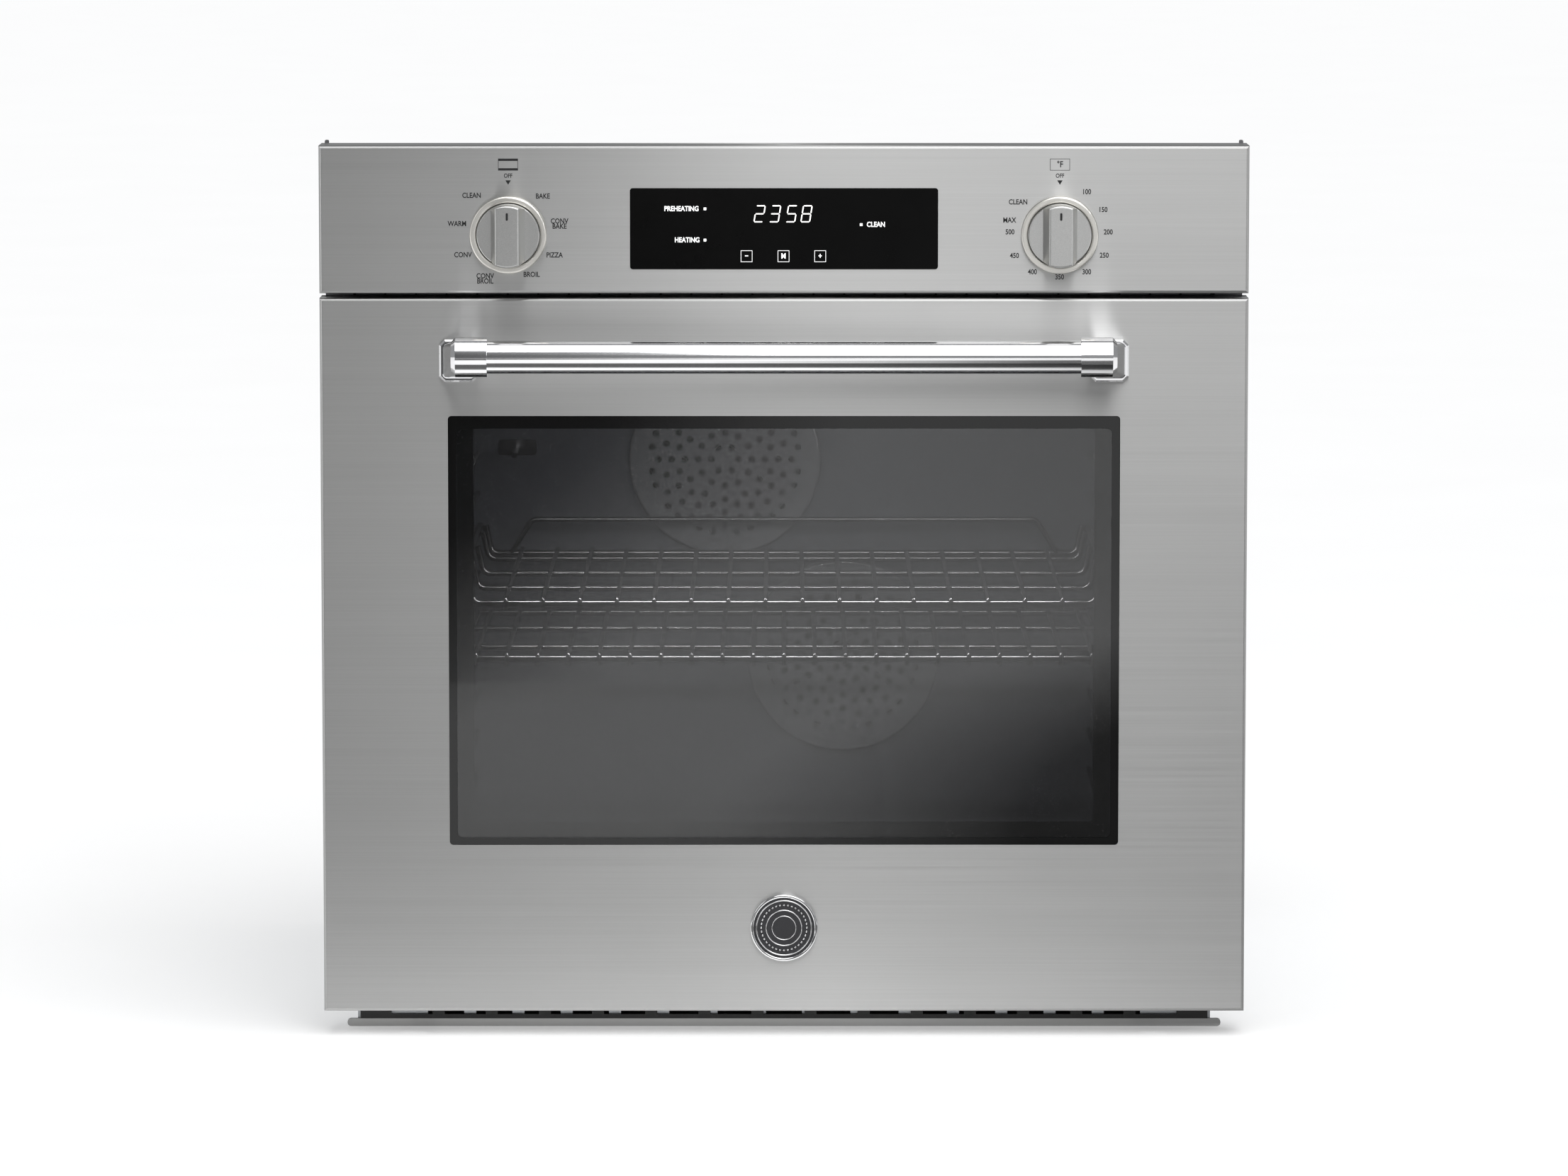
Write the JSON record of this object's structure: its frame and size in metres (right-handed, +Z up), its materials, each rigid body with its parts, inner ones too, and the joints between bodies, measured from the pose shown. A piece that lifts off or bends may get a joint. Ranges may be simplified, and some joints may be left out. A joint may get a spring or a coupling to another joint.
{
  "type": "built-in wall oven",
  "caption": "Built-in single wall oven with a drop-down glazed door, tubular handle, rotary controls, clock display, wire racks and rear convection fans.",
  "frame": {"origin": "on the base plane, under the centre of the overall box", "axes": "+X to the right seen from the front, +Y to the back, into the cabinet, +Z up"},
  "size_m": [0.756, 0.6654, 0.7335],
  "materials": {
    "brushed_stainless": "fine horizontal brushed stainless, satin",
    "polished_chrome": "mirror polished",
    "satin_nickel": "warm satin ring",
    "knob_metal": "bead-blasted satin",
    "black_glass": "gloss black printed glass",
    "clear_glass": "clear heat-reflecting glass",
    "galvanised": "galvanised sheet, spangled",
    "frame_steel": "grey enamelled steel",
    "black_steel": "satin black",
    "porcelain": "dark blue-grey porcelain enamel with fine speckle",
    "fibreglass": "matted glass fibre",
    "gasket_braid": "woven glass-fibre braid",
    "element_sheath": "oxidised nickel alloy",
    "motor_steel": "plated motor can",
    "aluminised": "aluminised sheet",
    "rack_chrome": "chromed wire",
    "lens_glass": "ribbed pressed glass",
    "ceramic_socket": "glazed ceramic",
    "bulb_glass": "frosted quartz",
    "spring_steel": "oiled spring steel",
    "black_plastic": "moulded",
    "circuit_board": "solder-masked board",
    "badge_black": "gloss black inlay"
  },
  "bodies": {
    "chassis": {"front_frame": "frame_steel", "side_panel_left": "galvanised", "side_panel_right": "galvanised", "top_cover": "galvanised", "rear_cover": "galvanised", "base_pan": "galvanised", "side_trims": "frame_steel", "bottom_trim": "brushed_stainless", "lower_vent": "black_steel", "vent_grille": "black_steel", "oven_cavity": "porcelain", "insulation_blanket": "fibreglass", "door_gasket": "gasket_braid", "broil_element": "element_sheath", "bake_element": "element_sheath", "convection_elements": "element_sheath", "fan_motors": "motor_steel", "fan_cover_upper": "porcelain", "fan_cover_lower": "porcelain", "lamp_housings": "ceramic_socket", "lamp_lenses": "lens_glass", "lamp_bulbs": "bulb_glass", "temperature_probe": "rack_chrome", "rack_ladder_left": "rack_chrome", "rack_ladder_right": "rack_chrome", "hinge_arms": "spring_steel", "control_panel": "brushed_stainless", "display_glass": "black_glass", "display_board": "circuit_board", "function_switch": "black_plastic", "thermostat": "black_plastic", "knob_bezels": "satin_nickel", "blower_housing": "galvanised", "blower_motor": "motor_steel", "latch_motor": "black_plastic", "power_board": "circuit_board", "conduit_bushing": "black_plastic"},
    "door": {"door_skin": "brushed_stainless", "outer_glass": "clear_glass", "middle_glass": "clear_glass", "inner_glass": "clear_glass", "glass_brackets": "aluminised", "door_liner": "porcelain", "handle_bar": "polished_chrome", "handle_bracket_left": "polished_chrome", "handle_bracket_right": "polished_chrome", "badge_rim": "polished_chrome", "badge_disc": "badge_black", "hinge_housings": "galvanised", "hinge_pins": "spring_steel", "hinge_spring_left": "spring_steel", "hinge_spring_right": "spring_steel"},
    "function_knob": {"function_knob": "knob_metal"},
    "temperature_knob": {"temperature_knob": "knob_metal"},
    "lower_rack": {"lower_rack": "rack_chrome"},
    "upper_rack": {"upper_rack": "rack_chrome"},
    "upper_fan": {"fan_blade_upper": "aluminised"},
    "lower_fan": {"fan_blade_lower": "aluminised"},
    "blower": {"blower_rotor": "aluminised"},
    "latch": {"latch_hook": "spring_steel"}
  },
  "joints": [
    {"name": "door_hinge", "type": "hinge", "parent": "chassis", "child": "door", "pos_m": [0, -0.242, 0.036], "axis": [1, 0, 0], "range_deg": [0, 90], "stiffness_Nm_per_rad": 28, "springref_deg": -14.32, "deforming": ["hinge_spring_left", "hinge_spring_right"]},
    {"name": "function_select", "type": "hinge", "parent": "chassis", "child": "function_knob", "pos_m": [-0.224, -0.266, 0.6588], "axis": [0, 1, 0], "continuous": true},
    {"name": "temperature_set", "type": "hinge", "parent": "chassis", "child": "temperature_knob", "pos_m": [0.224, -0.266, 0.6588], "axis": [0, 1, 0], "range_deg": [0, 305]},
    {"name": "lower_rack_slide", "type": "slide", "parent": "chassis", "child": "lower_rack", "axis": [0, -1, 0], "range_m": [0, 0.028]},
    {"name": "upper_rack_slide", "type": "slide", "parent": "chassis", "child": "upper_rack", "axis": [0, -1, 0], "range_m": [0, 0.028]},
    {"name": "upper_fan_spin", "type": "hinge", "parent": "chassis", "child": "upper_fan", "pos_m": [-0.052, 0.255, 0.43], "axis": [0, 1, 0], "continuous": true},
    {"name": "lower_fan_spin", "type": "hinge", "parent": "chassis", "child": "lower_fan", "pos_m": [0.052, 0.255, 0.256], "axis": [0, 1, 0], "continuous": true},
    {"name": "blower_spin", "type": "hinge", "parent": "chassis", "child": "blower", "pos_m": [0, 0.12, 0.6], "axis": [0, 0, 1], "continuous": true},
    {"name": "latch_swing", "type": "hinge", "parent": "chassis", "child": "latch", "pos_m": [0, -0.205, 0.5715], "axis": [0, 0, 1], "range_deg": [0, 17]}
  ]
}
